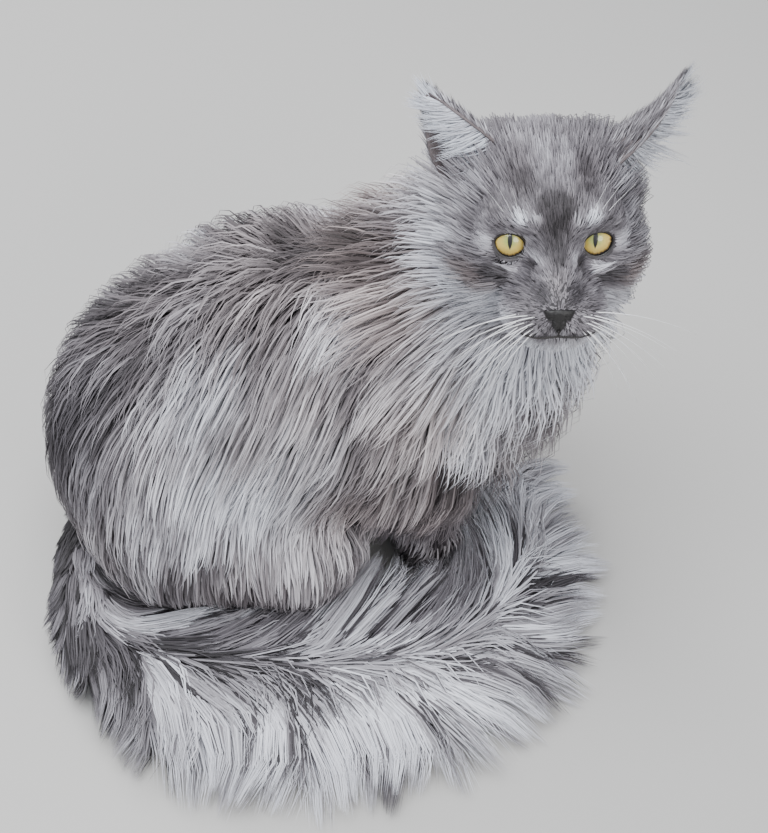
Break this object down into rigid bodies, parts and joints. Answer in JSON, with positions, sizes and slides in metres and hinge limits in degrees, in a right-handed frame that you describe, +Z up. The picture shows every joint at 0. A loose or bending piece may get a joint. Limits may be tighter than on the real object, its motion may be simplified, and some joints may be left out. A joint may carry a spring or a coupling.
{
  "type": "seated long-haired cat",
  "caption": "Life-size still model of a seated long-haired cat, head turned to its right, with tufted ears, a full ruff, long coat and a plumed tail laid round its feet.",
  "frame": {"origin": "on the floor, under the middle of the cat's bounding box", "axes": "+Z up; the body faces +X; the head is turned to the cat's right and faces -Y"},
  "size_m": [0.4144, 0.3614, 0.4064],
  "materials": {
    "face_fur": "short dark grey fur",
    "ruff_fur": "long light silver fur",
    "body_fur": "long grey fur with silver streaks",
    "leg_fur": "grey fur",
    "tail_fur": "very long grey and silver fur",
    "ear_fur": "thin grey fur, long white hair inside",
    "eye": "wet and glossy",
    "nose_leather": "matt, slightly moist"
  },
  "bodies": {
    "root": {"head": "face_fur", "nose": "nose_leather", "ear_left": "ear_fur", "ear_right": "ear_fur", "eye_left": "eye", "eye_right": "eye", "neck": "ruff_fur", "torso": "body_fur", "haunch_left": "body_fur", "haunch_right": "body_fur", "foreleg_left": "leg_fur", "foreleg_right": "leg_fur", "forepaw_left": "leg_fur", "forepaw_right": "leg_fur", "hindfoot_left": "leg_fur", "hindfoot_right": "leg_fur", "tail_1": "tail_fur", "tail_2": "tail_fur", "tail_3": "tail_fur", "tail_4": "tail_fur", "tail_5": "tail_fur", "tail_6": "tail_fur"}
  },
  "joints": []
}
